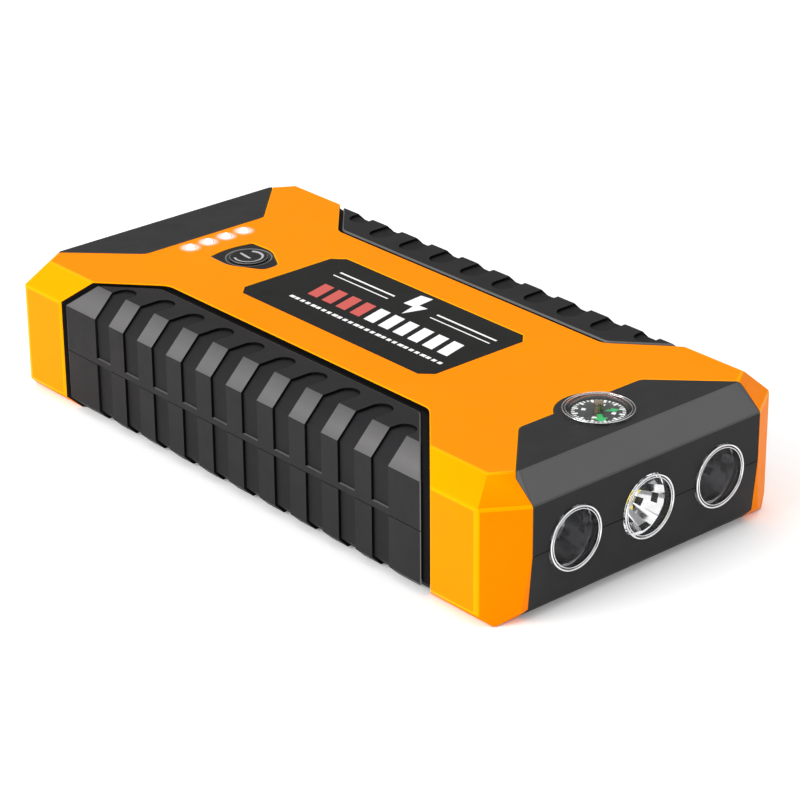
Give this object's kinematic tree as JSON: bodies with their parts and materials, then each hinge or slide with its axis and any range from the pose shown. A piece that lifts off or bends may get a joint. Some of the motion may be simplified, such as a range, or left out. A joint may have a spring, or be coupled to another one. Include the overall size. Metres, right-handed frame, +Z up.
{
  "type": "jump starter pack",
  "caption": "Flat lithium jump starter pack with ribbed side grips, front lamps, a domed compass, a push button and a socketed rear end.",
  "frame": {"origin": "middle of the footprint, on the plane that the pack rests on", "axes": "+Z up, -Y out of the front end with the lamps, +Y out of the rear end with the sockets, X across the pack"},
  "size_m": [0.094, 0.1884, 0.0389],
  "materials": {
    "orange_plastic": "fine satin moulded plastic",
    "black_plastic": "fine matt moulded plastic",
    "gloss_black_plastic": "polished plastic",
    "grip_rubber": "soft matt rubber",
    "flap_rubber": "soft matt rubber",
    "label_film": "satin printed film",
    "silver_film": "satin film, blank",
    "switch_plastic": "moulded",
    "circuit_board": "solder mask",
    "white_board": "white solder mask",
    "light_guide": "clear diffuse",
    "charge_chip": "lit chip",
    "bronze": "turned",
    "card_white": "printed card",
    "clear_plastic": "polished clear plastic",
    "mirror_bowl": "vacuum plated mirror",
    "smoked_bowl": "smoked mirror",
    "lamp_chip": "phosphor",
    "cell_pouch": "foil pouch",
    "foam": "closed-cell foam",
    "copper": "bare copper",
    "red_wire": "silicone sleeve",
    "black_wire": "silicone sleeve",
    "ferrite": "ferrite",
    "capacitor_can": "sleeved can",
    "blue_plastic": "glass-filled nylon",
    "gold_plate": "plated",
    "steel": "plated",
    "white_plastic": "moulded"
  },
  "bodies": {
    "pack": {"top_cover": "orange_plastic", "case_upper": "black_plastic", "case_lower": "black_plastic", "grip_left_upper": "grip_rubber", "grip_left_lower": "grip_rubber", "grip_right_upper": "grip_rubber", "grip_right_lower": "grip_rubber", "top_label": "label_film", "rating_label": "silver_film", "button_bezel": "gloss_black_plastic", "tact_switch": "switch_plastic", "button_board": "circuit_board", "charge_light_guide": "light_guide", "charge_leds": "charge_chip", "compass_cup": "black_plastic", "compass_pivot": "bronze", "compass_dome": "clear_plastic", "lamp_lens_left": "clear_plastic", "lamp_lens_middle": "clear_plastic", "lamp_lens_right": "clear_plastic", "reflector_left": "smoked_bowl", "reflector_middle": "mirror_bowl", "reflector_right": "smoked_bowl", "lamp_led_left": "lamp_chip", "lamp_led_middle": "lamp_chip", "lamp_led_right": "lamp_chip", "lamp_board": "white_board", "cell_1": "cell_pouch", "cell_2": "cell_pouch", "cell_3": "cell_pouch", "foam_top": "foam", "foam_bottom": "foam", "cell_links": "copper", "bus_bar_positive": "copper", "bus_bar_negative": "copper", "lead_positive": "red_wire", "lead_negative": "black_wire", "main_board": "circuit_board", "board_transistors": "switch_plastic", "board_coils": "ferrite", "board_capacitors": "capacitor_can", "jump_socket": "blue_plastic", "jump_contact_positive": "gold_plate", "jump_contact_negative": "gold_plate", "flap_pin": "steel", "usb_shell_1": "steel", "usb_shell_2": "steel", "usb_insulator_1": "white_plastic", "usb_insulator_2": "white_plastic", "dc_socket_in": "black_plastic", "dc_socket_out": "black_plastic", "switch_body": "black_plastic", "case_screws": "steel", "board_screws": "steel"},
    "button": {"power_button": "gloss_black_plastic", "tact_plunger": "switch_plastic"},
    "card": {"compass_card": "card_white"},
    "flap": {"socket_flap": "flap_rubber"},
    "slider": {"voltage_switch": "white_plastic"}
  },
  "joints": [
    {"name": "button_press", "type": "slide", "parent": "pack", "child": "button", "axis": [0, 0, -1], "range_m": [0, 0.0006], "stiffness_N_per_m": 600, "springref_m": -0.0005},
    {"name": "compass_turn", "type": "hinge", "parent": "pack", "child": "card", "pos_m": [0, -0.0764, 0.0343], "axis": [0, 0, 1], "continuous": true},
    {"name": "flap_swing", "type": "hinge", "parent": "pack", "child": "flap", "pos_m": [0.024, 0.092, 0.0254], "axis": [1, 0, 0], "range_deg": [0, 100]},
    {"name": "voltage_slide", "type": "slide", "parent": "pack", "child": "slider", "axis": [1, 0, 0], "range_m": [-0.002, 0.002]}
  ]
}
